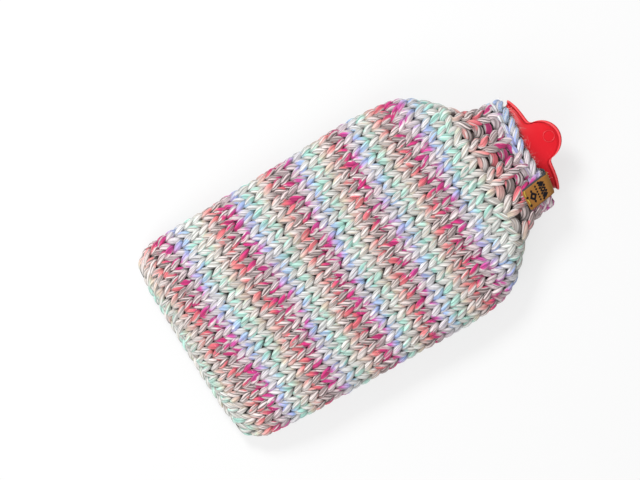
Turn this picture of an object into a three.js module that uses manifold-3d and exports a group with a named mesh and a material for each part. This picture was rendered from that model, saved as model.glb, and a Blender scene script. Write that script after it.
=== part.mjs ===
// A hand-knitted hot water bottle cover lying on its back, with the rubber bottle inside it.
// Millimetres, +Z up. +Y runs from the closed bottom edge to the collar and the bottle's mouth.
// The origin is under the middle of the whole object, on the surface that it lies on.

import * as THREE from 'three';
import { mergeVertices } from 'three/addons/utils/BufferGeometryUtils.js';
import Module from 'manifold-3d';

const wasm = await Module();
wasm.setup();

// Driving dimensions
const LENGTH = 380;
const COVER_LENGTH = 351;
const CORNER_RADIUS = 28;
const WALL = 7;
const LIP_RADIUS = WALL / 2;
const LIP_AT = COVER_LENGTH - LIP_RADIUS;
const LIP_STEPS = 4;
const END_WALL = 8;
const END_INSET = 4.5;
const COVER_AROUND = 52;
const EDGE_SLANT = 0.036;
const SLANT_FROM = -72;
const SLANT_FADE = 90;

// The knitted cover, by distance from the bottom edge:
// [distance, reach to the left, reach to the right, height]
const COVER_STATIONS = [
  [28, 99.2, 100.5, 44],
  [60, 99.8, 102.0, 46],
  [120, 101.2, 102.8, 46],
  [180, 103.2, 103.6, 46],
  [225, 104.8, 104.4, 47],
  [250, 103.2, 102.4, 46.5],
  [268, 100.6, 99.2, 46],
  [281, 94.5, 92.0, 46],
  [296, 82.0, 76.6, 48.5],
  [304, 72.0, 67.0, 50],
  [313, 63.0, 59.0, 50.5],
  [326, 57.0, 52.6, 50],
  [340, 56.0, 50.6, 47.5],
  [351, 54.0, 49.2, 46],
];
const BOTTOM_RISE = 100;
const BOTTOM_HEIGHT = 12;
const BOTTOM_LIFT = 5;
const BOTTOM_LIFT_FADE = 12;
const CROWN_POWER = 2.5;
const COLLAR_POWER = 2.8;
const COLLAR_FROM = 280;
const COLLAR_FULL = 320;
const UNDERSIDE_POWER = 4.5;
const UNDERSIDE_PRESS = 0.6;

// Where the rings of the cover's outer skin and of its hollow lie, by distance from the bottom edge
const OUTER_RINGS = [
  0, 2, 6, 12, 20, 30, 44, 66, 100, 150, 200, 225, 243, 258, 270, 281, 290, 298, 306, 315, 322, 328, 334, 341,
];
const HOLLOW_RINGS = [
  341, 335, 328, 315, 306, 298, 290, 281, 268, 246, 210, 120, 80, 60, 36, 24, 15, END_WALL,
];

// The rubber bottle: [distance from the bottom edge, half width, half depth]
const BOTTLE_STATIONS = [
  [12, 70, 3.2],
  [15, 78, 5],
  [22, 86, 7.6],
  [36, 90, 10.4],
  [60, 91, 13],
  [100, 91.5, 14.4],
  [225, 92.5, 14.6],
  [250, 90, 13.8],
  [268, 81, 12.6],
  [281, 64, 12],
  [291, 40, 12.8],
  [299, 23, 15],
  [306, 17.4, 16.6],
  [318, 18.2, 16.6],
  [330, 27, 15.2],
  [346, 38, 13.6],
  [360.4, 44.7, 14.2],
];
const MOUTH_STATIONS = [
  [301, 12.6, 12.4],
  [318, 14, 13],
  [330, 23.4, 12],
  [346, 34.8, 10.6],
  [360.4, 41.5, 11.2],
  [365.4, 43.6, 11.5],
];
const RIM = 360.4;
const BOTTLE_RINGS = [
  12, 13.5, 17, 24, 36, 60, 100, 160, 225, 243, 258, 268, 276, 283, 288, 293, 299, 306, 318, 325, 335, 346,
  RIM,
];
const MOUTH_RINGS = [301, 318, 326, 336, 347, 365.4];
const BAG_POWER = 2.4;
const BAG_END = 285;
const NECK_FROM = 305;
const FLARE_FROM = 320;
const BOTTLE_SHIFT = -4.8;
const RIM_DROOP = 4.5;
const DROOP_POWER = 4;
const TAB_RADIUS = 17.6;
const TAB_THICKNESS = 3;
const TAB_FILLET = 4;
const TAB_ROOT = 4;
const TAB_LIFT = 10.2;

// The folded label on the collar's top edge
const LABEL_CENTRE = 32.9;
const LABEL_WIDTH = 17.8;
const LABEL_END = 323;
const LABEL_INNER_END = 340;
const LABEL_LEAN = -0.13;
const LABEL_LEAN_FROM = 337;
const LABEL_THICKNESS = 1.6;
const LABEL_GAP = 0.6;
const LABEL_TUCK = 5;

// A smooth value between stations, without overshoot (monotone cubic).
function between(stations, column, at) {
  const last = stations.length - 1;
  const gain = (i, k) => stations[i + 1][k] - stations[i][k];
  const slope = (i) => gain(i, column) / gain(i, 0);
  const tangent = (i) => {
    if (i === 0) return slope(0);
    if (i === last) return slope(last - 1);
    const before = slope(i - 1);
    const after = slope(i);
    return before * after <= 0 ? 0 : (2 * before * after) / (before + after);
  };
  if (at <= stations[0][0]) return stations[0][column];
  if (at >= stations[last][0]) return stations[last][column];
  let i = 0;
  while (stations[i + 1][0] < at) i += 1;
  const step = stations[i + 1][0] - stations[i][0];
  const t = (at - stations[i][0]) / step;
  const t2 = t * t;
  const t3 = t2 * t;
  return (2 * t3 - 3 * t2 + 1) * stations[i][column] + (t3 - 2 * t2 + t) * step * tangent(i)
    + (3 * t2 - 2 * t3) * stations[i + 1][column] + (t3 - t2) * step * tangent(i + 1);
}

// How far round corners draw the outline in, near the bottom edge.
function cornerInset(at) {
  if (at >= CORNER_RADIUS) return 0;
  const rise = 1 - at / CORNER_RADIUS;
  return CORNER_RADIUS * (1 - Math.sqrt(1 - rise * rise));
}

// The cover's cross-section: centre, half width, lowest and highest point and roundness.
function coverSection(at) {
  const left = between(COVER_STATIONS, 1, at) - cornerInset(at);
  const right = between(COVER_STATIONS, 2, at) - cornerInset(at);
  const full = between(COVER_STATIONS, 3, at);
  const rise = Math.max(0, 1 - at / BOTTOM_RISE);
  const high = BOTTOM_HEIGHT + (full - BOTTOM_HEIGHT) * Math.sqrt(1 - rise * rise);
  const low = BOTTOM_LIFT * Math.max(0, 1 - at / BOTTOM_LIFT_FADE) ** 2;
  const collar = THREE.MathUtils.smoothstep(at, COLLAR_FROM, COLLAR_FULL);
  return {
    centre: (right - left) / 2,
    half: (right + left) / 2,
    low,
    high,
    crown: THREE.MathUtils.lerp(CROWN_POWER, COLLAR_POWER, collar),
  };
}

// The bottom edge was knitted and sewn slightly out of square.
function slanted(x, at) {
  return at + (x - SLANT_FROM) * EDGE_SLANT * Math.max(0, 1 - at / SLANT_FADE);
}

function superellipse(share, power) {
  return (1 - Math.min(1, Math.abs(share)) ** power) ** (1 / power);
}

// A point of the cover's skin, moved inwards by inset, at an angle around its section.
function coverPoint(angle, at, inset) {
  const s = coverSection(at);
  const middle = (s.low + s.high) / 2;
  const rise = (s.high - s.low) / 2 - inset;
  const half = s.half - inset;
  const c = Math.cos(angle);
  const upper = Math.sin(angle) >= 0;
  const power = upper ? s.crown : UNDERSIDE_POWER;
  const x = half * Math.sign(c) * Math.abs(c) ** (2 / CROWN_POWER);
  const bulge = rise * superellipse(x / half, power);
  let z = upper ? middle + bulge : middle - bulge;
  if (!upper && s.low === 0) z = Math.max(inset, z - UNDERSIDE_PRESS * superellipse(x / half, 2));
  return new THREE.Vector3(s.centre + x, slanted(x, at) - LENGTH / 2, z);
}

// The height of the cover's upper skin at a place, moved inwards by inset.
function coverTop(x, at, inset) {
  const s = coverSection(at);
  const middle = (s.low + s.high) / 2;
  const rise = (s.high - s.low) / 2 - inset;
  return middle + rise * superellipse((x - s.centre) / (s.half - inset), s.crown);
}

// A closed solid through rings of points, with both ends closed by a fan.
function loft(rings) {
  const count = rings[0].length;
  const positions = rings.flat().flatMap((p) => [p.x, p.y, p.z]);
  const faces = [];
  const end = (rings.length - 1) * count;
  for (let here = 0; here < end; here += count) {
    const next = here + count;
    for (let j = 0; j < count; j += 1) {
      const k = (j + 1) % count;
      faces.push(here + j, next + k, here + k, here + j, next + j, next + k);
    }
  }
  for (let j = 1; j < count - 1; j += 1) {
    faces.push(0, j, j + 1);
    faces.push(end, end + j + 1, end + j);
  }
  const geometry = new THREE.BufferGeometry();
  geometry.setAttribute('position', new THREE.Float32BufferAttribute(positions, 3));
  geometry.setIndex(faces);
  return geometry;
}

function ring(count, point) {
  return Array.from({ length: count }, (_, j) => point((2 * Math.PI * j) / count));
}

function toSolid(geometry) {
  const bare = geometry.clone();
  bare.deleteAttribute('normal');
  bare.deleteAttribute('uv');
  const merged = mergeVertices(bare, 1e-4);
  return new wasm.Manifold(new wasm.Mesh({
    numProp: 3,
    vertProperties: new Float32Array(merged.attributes.position.array),
    triVerts: new Uint32Array(merged.index.array),
  }));
}

function toGeometry(solid) {
  const mesh = solid.getMesh();
  const geometry = new THREE.BufferGeometry();
  geometry.setAttribute('position', new THREE.Float32BufferAttribute(mesh.vertProperties, 3));
  geometry.setIndex(new THREE.Uint32BufferAttribute(mesh.triVerts, 1));
  return geometry;
}

// One knitted piece: the outer skin, the round lip of the collar and the hollow for the bottle.
function coverGeometry() {
  const rings = OUTER_RINGS.map((at) => ring(COVER_AROUND, (angle) => coverPoint(angle, at, 0)));
  for (let step = 0; step <= LIP_STEPS; step += 1) {
    const turn = (step / LIP_STEPS) * Math.PI;
    const at = LIP_AT + LIP_RADIUS * Math.sin(turn);
    const inset = LIP_RADIUS * (1 - Math.cos(turn));
    rings.push(ring(COVER_AROUND, (angle) => coverPoint(angle, at, inset)));
  }
  for (const at of HOLLOW_RINGS) {
    const inset = at > END_WALL ? WALL : END_INSET;
    rings.push(ring(COVER_AROUND, (angle) => hollowPoint(angle, at, inset)));
  }
  return toGeometry(toSolid(loft(rings)));
}

// The hollow follows the outer skin, and its flat end stays clear of the curled bottom edge.
function hollowPoint(angle, at, inset) {
  const s = coverSection(at);
  const room = Math.min(inset, (s.high - s.low) / 2 - 3);
  return coverPoint(angle, at, room);
}

// A ring of the bottle, centred in the cover's height at that distance.
function bottleRing(stations, at, around) {
  const half = between(stations, 1, at);
  const depth = between(stations, 2, at);
  const s = coverSection(at);
  const middle = (s.low + s.high) / 2;
  const bag = 1 - THREE.MathUtils.smoothstep(at, BAG_END, NECK_FROM);
  const power = THREE.MathUtils.lerp(2, BAG_POWER, bag);
  const shift = THREE.MathUtils.lerp(BOTTLE_SHIFT, s.centre, bag);
  return ring(around, (angle) => {
    const c = Math.cos(angle);
    const x = half * Math.sign(c) * Math.abs(c) ** (2 / power);
    const z = depth * superellipse(x / half, power) * (Math.sin(angle) >= 0 ? 1 : -1);
    const flare = THREE.MathUtils.smoothstep(at, FLARE_FROM, RIM);
    const droop = RIM_DROOP * flare * (x / half) ** DROOP_POWER;
    return new THREE.Vector3(shift + x, slanted(x, at) - droop - LENGTH / 2, middle + z);
  });
}

// The hanging tab: a dome whose sides flare out into the funnel's upper wall.
function tabGeometry(middle) {
  const centre = LENGTH / 2 - TAB_RADIUS;
  const base = RIM - LENGTH / 2;
  const shoulder = base + TAB_FILLET;
  const lean = Math.asin((shoulder - centre) / (TAB_RADIUS + TAB_FILLET));
  const foot = (TAB_RADIUS + TAB_FILLET) * Math.cos(lean);
  const outline = new THREE.Shape();
  outline.moveTo(-foot, base - TAB_ROOT);
  outline.lineTo(-foot, base);
  outline.absarc(-foot, shoulder, TAB_FILLET, -Math.PI / 2, -lean, false);
  outline.absarc(0, centre, TAB_RADIUS, Math.PI - lean, lean, true);
  outline.absarc(foot, shoulder, TAB_FILLET, Math.PI + lean, (3 * Math.PI) / 2, false);
  outline.lineTo(foot, base - TAB_ROOT);
  outline.closePath();
  const extrusion = { depth: TAB_THICKNESS, bevelEnabled: false, curveSegments: 8 };
  const tab = new THREE.ExtrudeGeometry(outline, extrusion);
  tab.translate(BOTTLE_SHIFT, 0, middle + TAB_LIFT);
  return tab;
}

// The rubber bottle: flat bag, round neck, funnel with an open mouth, and its tab.
function bottleGeometry() {
  const bag = loft(BOTTLE_RINGS.map((at) => bottleRing(BOTTLE_STATIONS, at, 40)));
  const mouth = loft(MOUTH_RINGS.map((at) => bottleRing(MOUTH_STATIONS, at, 32)));
  const rim = coverSection(RIM);
  const tab = tabGeometry((rim.low + rim.high) / 2);
  return toGeometry(toSolid(bag).add(toSolid(tab)).subtract(toSolid(mouth)));
}

// The label lies on the collar, turns over its lip and ends inside.
function labelGeometry() {
  const across = 7;
  const path = [];
  const along = (end, share) => end + (LIP_AT - end) * share;
  for (let i = 0; i <= 6; i += 1) path.push({ at: along(LABEL_END, i / 6), turn: 0 });
  for (let i = 1; i <= 7; i += 1) path.push({ at: LIP_AT, turn: (i / 8) * Math.PI });
  for (let i = 3; i >= 0; i -= 1) path.push({ at: along(LABEL_INNER_END, i / 3), turn: Math.PI });
  const sheetPoint = (p, share, out) => {
    const radius = LIP_RADIUS + out;
    const at = p.at + radius * Math.sin(p.turn);
    const inset = LIP_RADIUS - radius * Math.cos(p.turn);
    const tuck = (LABEL_TUCK * Math.max(0, inset)) / WALL;
    const x = LABEL_CENTRE + share * LABEL_WIDTH + (p.at - LABEL_LEAN_FROM) * LABEL_LEAN - tuck;
    return new THREE.Vector3(x, at - LENGTH / 2, coverTop(x, Math.min(at, COVER_LENGTH), inset));
  };
  const rings = path.map((p) => {
    const shares = Array.from({ length: across }, (_, j) => j / (across - 1) - 0.5);
    const face = shares.map((share) => sheetPoint(p, share, LABEL_GAP + LABEL_THICKNESS));
    const back = shares.map((share) => sheetPoint(p, share, LABEL_GAP)).reverse();
    return [...face, ...back];
  });
  return toGeometry(toSolid(loft(rings.reverse())));
}

function piece(name, geometry, material) {
  const mesh = new THREE.Mesh(geometry, new THREE.MeshStandardMaterial(material));
  mesh.name = name;
  return mesh;
}

const hotWaterBottleCover = new THREE.Group();
hotWaterBottleCover.add(piece('cover', coverGeometry(), { color: 0xd6cfc9, roughness: 0.95, metalness: 0 }));
hotWaterBottleCover.add(piece('label', labelGeometry(), { color: 0x8a5a30, roughness: 0.7, metalness: 0 }));
hotWaterBottleCover.add(piece('bottle', bottleGeometry(), { color: 0xe0202c, roughness: 0.4, metalness: 0 }));

export default hotWaterBottleCover;
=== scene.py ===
"""A hand-knitted hot water bottle cover on its rubber bottle, lying on its back.

The cover is real yarn: every round of the knitting is one strand that runs through its stitches.
Lengths are in millimetres while shapes are worked out, and every mesh is made in metres.
"""

import math

import bpy
import numpy as np
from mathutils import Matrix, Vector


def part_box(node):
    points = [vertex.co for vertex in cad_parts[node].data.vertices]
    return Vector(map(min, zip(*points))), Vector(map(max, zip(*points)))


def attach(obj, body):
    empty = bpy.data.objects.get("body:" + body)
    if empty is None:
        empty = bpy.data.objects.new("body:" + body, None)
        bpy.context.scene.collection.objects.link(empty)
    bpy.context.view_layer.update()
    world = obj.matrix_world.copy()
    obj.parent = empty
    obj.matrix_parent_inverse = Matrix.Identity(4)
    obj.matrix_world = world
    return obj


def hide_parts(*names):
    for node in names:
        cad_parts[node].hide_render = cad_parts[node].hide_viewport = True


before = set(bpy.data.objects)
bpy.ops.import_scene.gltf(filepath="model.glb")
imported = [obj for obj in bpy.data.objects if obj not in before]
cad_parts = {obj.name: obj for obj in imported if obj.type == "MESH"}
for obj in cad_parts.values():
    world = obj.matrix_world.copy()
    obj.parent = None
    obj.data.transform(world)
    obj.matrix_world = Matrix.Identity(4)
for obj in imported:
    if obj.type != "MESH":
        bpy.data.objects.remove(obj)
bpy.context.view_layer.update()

MM = 0.001
LOW, HIGH = (np.array(corner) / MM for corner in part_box("cover"))
BOTTOM_Y = LOW[1]
COVER_LENGTH = HIGH[1] - LOW[1]
RNG = np.random.default_rng(7)

# --- the cover's form -------------------------------------------------------------------------
# [distance from the bottom edge, reach to the left, reach to the right, height]
COVER_STATIONS = np.array(
    [
        [28, 99.2, 100.5, 44],
        [60, 99.8, 102.0, 46],
        [120, 101.2, 102.8, 46],
        [180, 103.2, 103.6, 46],
        [225, 104.8, 104.4, 47],
        [250, 103.2, 102.4, 46.5],
        [268, 100.6, 99.2, 46],
        [281, 94.5, 92.0, 46],
        [296, 82.0, 76.6, 48.5],
        [304, 72.0, 67.0, 50],
        [313, 63.0, 59.0, 50.5],
        [326, 57.0, 52.6, 50],
        [340, 56.0, 50.6, 47.5],
        [351, 54.0, 49.2, 46],
    ]
)
CORNER_RADIUS = 28
BOTTOM_RISE = 100
BOTTOM_HEIGHT = 12
BOTTOM_LIFT = 5
BOTTOM_LIFT_FADE = 12
CROWN_POWER = 2.5
COLLAR_POWER = 2.8
UNDERSIDE_POWER = 4.5
CROWN_CHANGES = (280, 320)  # from the body's crown to the collar's
LEAST_RISE = 2
EDGE_SLANT = 0.036
SLANT_FROM = -72
SLANT_FADE = 90
MOUTH_END = 351
LEVELS = 353  # points of the surface grid along the cover
COLUMNS = 360  # and steps round it

# --- the knitting -----------------------------------------------------------------------------
STITCH_WIDTH = 13.3
ROW_HEIGHT = 9.2
FABRIC_TURN = -3.3  # how far the front's middle column is turned to the left on the bottle
FIRST_ROW_AT = 2.5
BODY_STITCHES = 34
SHOULDER_FROM = 262
RIB_FROM = 303
RIB_STITCHES = 20
RIB_ROWS = 4
RIB_ROW_HEIGHT = 8.9
ROUND_STARTS_AT = 148.0  # one round starts here, which sets where all the others fall
MOST_DECREASED = 4
ROUNDS_A_PIECE = 8
YARN_DEPTH = 3.9  # the yarn's middle lies this far inside the cover's outer form
PLIES = 3
SIDES = 14
TWIST_LENGTH = 60
PLY_MEAN = 0.97
PLY_SWELL = 0.05
ANY_TWIST = 6.28  # radians
FLOOR_CLEARANCE = 0.02


def smoothstep(x, low, high):
    t = np.clip((x - low) / (high - low), 0, 1)
    return t * t * (3 - 2 * t)


def between(stations, column, at):
    """A smooth value between stations, without overshoot (monotone cubic)."""
    x, y = stations[:, 0], stations[:, column]
    slope = np.diff(y) / np.diff(x)
    before, after = slope[:-1], slope[1:]
    total = np.where(before * after > 0, before + after, 1)
    inner = np.where(before * after > 0, 2 * before * after / total, 0)
    tangent = np.concatenate([[slope[0]], inner, [slope[-1]]])
    at = np.clip(at, x[0], x[-1])
    i = np.clip(np.searchsorted(x, at, side="right") - 1, 0, len(x) - 2)
    step = x[i + 1] - x[i]
    t = (at - x[i]) / step
    t2, t3 = t * t, t * t * t
    start = (2 * t3 - 3 * t2 + 1) * y[i] + (t3 - 2 * t2 + t) * step * tangent[i]
    return start + (3 * t2 - 2 * t3) * y[i + 1] + (t3 - t2) * step * tangent[i + 1]


def superellipse(share, power):
    return (1 - np.minimum(1, np.abs(share)) ** power) ** (1 / power)


def cover_section(at):
    """Centre, half width, lowest and highest point, and roundness of the cover's section."""
    rise = np.maximum(0, 1 - at / CORNER_RADIUS)
    corner = CORNER_RADIUS * (1 - np.sqrt(1 - rise * rise))
    left = between(COVER_STATIONS, 1, at) - corner
    right = between(COVER_STATIONS, 2, at) - corner
    full = between(COVER_STATIONS, 3, at)
    rise = np.maximum(0, 1 - at / BOTTOM_RISE)
    high = BOTTOM_HEIGHT + (full - BOTTOM_HEIGHT) * np.sqrt(1 - rise * rise)
    low = BOTTOM_LIFT * np.maximum(0, 1 - at / BOTTOM_LIFT_FADE) ** 2
    crown = CROWN_POWER + (COLLAR_POWER - CROWN_POWER) * smoothstep(at, *CROWN_CHANGES)
    return (right - left) / 2, (right + left) / 2, low, high, crown


def slanted(x, at):
    """The bottom edge is slightly out of square."""
    return at + (x - SLANT_FROM) * EDGE_SLANT * np.maximum(0, 1 - at / SLANT_FADE)


def cover_skin(angle, at, inset):
    """Points of the cover's outer form, moved inwards by inset."""
    centre, half, low, high, crown = cover_section(at)
    middle = (low + high) / 2
    rise = (high - low) / 2 - np.minimum(inset, (high - low) / 2 - LEAST_RISE)
    half = half - inset
    c = np.cos(angle)
    upper = np.sin(angle) >= 0
    share = np.sign(c) * np.abs(c) ** (2 / CROWN_POWER)
    bulge = rise * superellipse(share, np.where(upper, crown, UNDERSIDE_POWER))
    x = centre + half * share
    z = middle + np.where(upper, bulge, -bulge)
    return np.stack([x, slanted(x, at) + BOTTOM_Y, z], -1)


def cover_top(x, at, inset):
    """The height of the cover's upper side, moved inwards by inset."""
    centre, half, low, high, crown = cover_section(at)
    rise = (high - low) / 2 - inset
    return (low + high) / 2 + rise * superellipse((x - centre) / (half - inset), crown)


class Fabric:
    """The cover's surface at one depth, addressed by distance along it and share of the way round."""

    def __init__(self, inset):
        self.at = np.linspace(0, COVER_LENGTH, LEVELS)
        turn = np.linspace(0, 2 * np.pi, 2 * COLUMNS + 1)
        self.grid = np.empty((LEVELS, COLUMNS + 1, 3))
        self.round = np.empty(LEVELS)
        even = np.linspace(0, 1, COLUMNS + 1)
        for i, at in enumerate(self.at):
            ring = cover_skin(np.pi / 2 - turn, at, inset)
            step = np.linalg.norm(np.diff(ring, axis=0), axis=1)
            walked = np.concatenate([[0], np.cumsum(step)])
            self.round[i] = walked[-1]
            for k in range(3):
                self.grid[i, :, k] = np.interp(even * walked[-1], walked, ring[:, k])
        top = self.grid[:, 0]
        step = np.linalg.norm(np.diff(top, axis=0), axis=1)
        self.walked = np.concatenate([[0], np.cumsum(step)])
        across = np.gradient(self.grid, axis=1)
        across[:, 0] = across[:, -1] = self.grid[:, 1] - self.grid[:, -2]
        along = np.gradient(self.grid, axis=0)
        normal = np.cross(across, along)
        self.normal = normal / np.maximum(np.linalg.norm(normal, axis=2, keepdims=True), 1e-9)

    def distance_at(self, at):
        return np.interp(at, self.at, self.walked)

    def at_distance(self, distance):
        return np.interp(distance, self.walked, self.at)

    def around_at(self, distance):
        return np.interp(distance, self.walked, self.round)

    def place(self, share, distance, out):
        """Points and normals at a share of the way round and a distance along the surface."""
        row = np.clip(np.interp(distance, self.walked, np.arange(LEVELS)), 0, LEVELS - 1.001)
        column = (share % 1) * COLUMNS
        i, j = row.astype(int), column.astype(int)
        j = np.minimum(j, COLUMNS - 1)
        u, v = (row - i)[..., None], (column - j)[..., None]

        def mixed(table):
            near = table[i, j] * (1 - v) + table[i, j + 1] * v
            far = table[i + 1, j] * (1 - v) + table[i + 1, j + 1] * v
            return near * (1 - u) + far * u

        normal = mixed(self.normal)
        normal /= np.linalg.norm(normal, axis=-1, keepdims=True)
        return mixed(self.grid) + normal * out[..., None], normal


# --- mesh making ------------------------------------------------------------------------------
def mesh_piece(name, points, quads, material, marks=None, smooth=True):
    """A new object from points in millimetres and faces of four corners (or three, as -1)."""
    mesh = bpy.data.meshes.new(name)
    quads = np.asarray(quads)
    sizes = (quads >= 0).sum(1)
    corners = quads[quads >= 0]
    starts = np.concatenate([[0], np.cumsum(sizes)[:-1]])
    mesh.vertices.add(len(points))
    mesh.vertices.foreach_set("co", (np.asarray(points, float) * MM).astype(np.float32).ravel())
    mesh.loops.add(len(corners))
    mesh.loops.foreach_set("vertex_index", corners.astype(np.int32))
    mesh.polygons.add(len(quads))
    mesh.polygons.foreach_set("loop_start", starts.astype(np.int32))
    mesh.polygons.foreach_set("loop_total", sizes.astype(np.int32))
    for mark, values in (marks or {}).items():
        values = np.asarray(values, np.float32)
        kind = "FLOAT_VECTOR" if values.ndim == 2 else "FLOAT"
        layer = mesh.attributes.new(mark, kind, "POINT")
        layer.data.foreach_set("vector" if values.ndim == 2 else "value", values.ravel())
    mesh.update(calc_edges=True)
    mesh.validate()
    if smooth:
        mesh.polygons.foreach_set("use_smooth", np.ones(len(mesh.polygons), bool))
    mesh.materials.append(material)
    piece = bpy.data.objects.new(name, mesh)
    bpy.context.scene.collection.objects.link(piece)
    return piece


def tube_quads(count, sides, closed):
    """Faces between the rings of a tube; a closed tube joins its last ring to its first."""
    rings = count if closed else count - 1
    i, j = np.meshgrid(np.arange(rings), np.arange(sides), indexing="ij")
    here, next_ring = i * sides, ((i + 1) % count) * sides
    k = (j + 1) % sides
    return np.stack([here + j, here + k, next_ring + k, next_ring + j], -1).reshape(-1, 4)


def end_caps(count, sides):
    """Fans that close both ends of an open tube, through an extra point at each end."""
    j = np.arange(sides)
    k = (j + 1) % sides
    last = (count - 1) * sides
    none = np.full(sides, -1)
    first_tip, last_tip = np.full(sides, count * sides), np.full(sides, count * sides + 1)
    return np.concatenate(
        [
            np.stack([k, j, first_tip, none], -1),
            np.stack([last + j, last + k, last_tip, none], -1),
        ]
    )


def yarn_tube(path, normal, wide, tall, closed, cycle, front, phase=0.0):
    """A plied yarn along a path: points, faces, strand marks and marks of dye and front."""
    count = len(path)
    if closed:
        tangent = np.roll(path, -1, 0) - np.roll(path, 1, 0)
        step = np.linalg.norm(np.roll(path, -1, 0) - path, axis=1)
        walked = np.concatenate([[0], np.cumsum(step)])
        turns = max(1, round(walked[-1] / TWIST_LENGTH))
        turned = -2 * np.pi * turns * walked[:-1] / walked[-1]
    else:
        tangent = np.gradient(path, axis=0)
        step = np.linalg.norm(np.diff(path, axis=0), axis=1)
        walked = np.concatenate([[0], np.cumsum(step)])
        turned = -2 * np.pi * walked / TWIST_LENGTH
    walked = walked[:count]
    tangent /= np.linalg.norm(tangent, axis=1, keepdims=True)
    side = np.cross(tangent, normal)
    side /= np.linalg.norm(side, axis=1, keepdims=True)
    up = np.cross(side, tangent)
    ply = np.arange(SIDES) * 2 * np.pi / SIDES
    angle = ply[None] + turned[:, None] + phase
    lobe = PLY_MEAN + PLY_SWELL * np.cos(PLIES * ply)[None]
    points = path[:, None] + side[:, None] * (wide[:, None] * lobe * np.cos(angle))[..., None]
    points = points + up[:, None] * (tall[:, None] * lobe * np.sin(angle))[..., None]
    strand = np.empty((count, SIDES, 3))
    strand[..., 0] = np.cos(ply)
    strand[..., 1] = np.sin(ply)
    strand[..., 2] = walked[:, None] * MM
    dye, front = np.repeat(cycle, SIDES), np.repeat(front, SIDES)
    points, strand = points.reshape(-1, 3), strand.reshape(-1, 3)
    quads = tube_quads(count, SIDES, closed)
    if not closed:
        quads = np.concatenate([quads, end_caps(count, SIDES)])
        points = np.concatenate([points, path[[0, -1]]])
        strand = np.concatenate([strand, [[0, 0, 0], [0, 0, walked[-1] * MM]]])
        dye = np.concatenate([dye, [cycle[0], cycle[-1]]])
        front = np.concatenate([front, front[[0, -1]]])
    return points, quads, strand, dye, front


class Skein:
    """Collects tubes of yarn that become one piece."""

    def __init__(self):
        self.tubes, self.quads, self.count = [], [], 0

    def add(self, points, quads, *marks):
        self.quads.append(np.where(quads >= 0, quads + self.count, -1))
        self.tubes.append((points, *marks))
        self.count += len(points)

    def piece(self, name, material):
        points, strand, dye, front = (np.concatenate(part) for part in zip(*self.tubes))
        points[:, 2] = np.maximum(points[:, 2], LOW[2] + FLOOR_CLEARANCE)
        marks = {"strand": strand, "dye": dye, "front": front}
        return mesh_piece(name, points, np.concatenate(self.quads), material, marks)


# One stitch of the knitting: across in stitch widths from its middle, up in rows, out in
# millimetres, and how much of its fullness the yarn has there.
STITCH = np.array(
    [
        [-0.34, -0.34, -2.3, 0.25],
        [-0.03, -0.22, -1.6, 0.35],
        [0.07, 0.00, 0.1, 0.50],
        [0.01, 0.22, 1.1, 0.80],
        [-0.12, 0.48, 1.5, 1.00],
        [-0.25, 0.76, 1.3, 0.96],
        [-0.37, 1.02, 0.4, 0.72],
        [-0.41, 1.24, -1.3, 0.38],
        [-0.22, 1.40, -2.4, 0.25],
        [0.06, 1.44, -2.6, 0.22],
        [0.33, 1.38, -2.4, 0.25],
        [0.48, 1.20, -1.2, 0.38],
        [0.45, 0.98, 0.3, 0.70],
        [0.39, 0.72, 1.1, 0.92],
        [0.32, 0.44, 1.2, 0.90],
        [0.25, 0.16, 0.7, 0.62],
        [0.22, -0.08, -0.6, 0.38],
        [0.34, -0.26, -2.0, 0.30],
    ]
)
YARN_WIDE = 3.5  # half the yarn's width, half its thickness, and half of both where it is pulled thin
YARN_TALL = 2.8
YARN_THIN = 1.8
SAMPLES = len(STITCH)
YARN_BACK = 2.4  # how far behind its round the yarn's middle goes
YARN_REACH = 3.7  # and from there to the front

# One purl stitch of the rib: a bar that crosses in front, between two columns of knit stitches.
PURL = np.array(
    [
        [-0.52, -0.30, -2.4, 0.20],
        [-0.60, -0.16, -2.2, 0.22],
        [-0.66, 0.00, -1.6, 0.30],
        [-0.66, 0.18, -0.7, 0.50],
        [-0.60, 0.34, 0.2, 0.75],
        [-0.50, 0.47, 0.9, 0.90],
        [-0.36, 0.56, 1.4, 1.00],
        [-0.20, 0.61, 1.7, 1.05],
        [-0.06, 0.63, 1.8, 1.10],
        [0.08, 0.63, 1.8, 1.10],
        [0.22, 0.61, 1.7, 1.05],
        [0.38, 0.56, 1.4, 1.00],
        [0.52, 0.47, 0.9, 0.90],
        [0.62, 0.34, 0.2, 0.75],
        [0.67, 0.18, -0.7, 0.50],
        [0.66, 0.00, -1.6, 0.30],
        [0.60, -0.16, -2.2, 0.22],
        [0.52, -0.28, -2.4, 0.20],
    ]
)
PURL_DEPTH = 1.5
KNIT_RAISE = 0.8
KNIT_SPREAD = 1.26
PURL_SPREAD = 0.74
PURL_FULL = 1.36
RIB_WIDTH = 0.97
RIB_GAP_FRONT = 0.34  # the rib's gaps are less deep in shade than the body's
FIRST_PURL_DROP = 0.28
WIDEST_YARN = 1.05

# How uneven the hand's stitches are: in stitch widths, rows, millimetres or shares of the whole.
RIB_UNEVEN = 1.5
UNEVEN_ACROSS = 0.022
UNEVEN_HEIGHT = 0.05
UNEVEN_UP = 0.035
UNEVEN_OUT = 0.25
UNEVEN_FULL = 0.06
UNEVEN_LEAN = 0.05
RIB_UNEVEN_LEAN = 0.22
UNEVEN_ROUND = 0.35

# Where the dye has run, by distance from the bottom edge: strongest pink at each whole cycle.
DYE_STATIONS = np.array([[0, -0.62], [36, 0], [98, 1], [154, 2], [208, 3], [262, 4], [333, 5], [392, 6]])
# How far the dye is ahead at the right edge and behind at the left, in millimetres.
DYE_DRIFT = np.array([[0, -4], [36, -4.5], [97, -1], [154, 0], [207, 5.8], [262, 0.5], [351, 0]])
DYE_RIPPLE = 1.6
DYE_RIPPLE_LENGTH = 21


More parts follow.
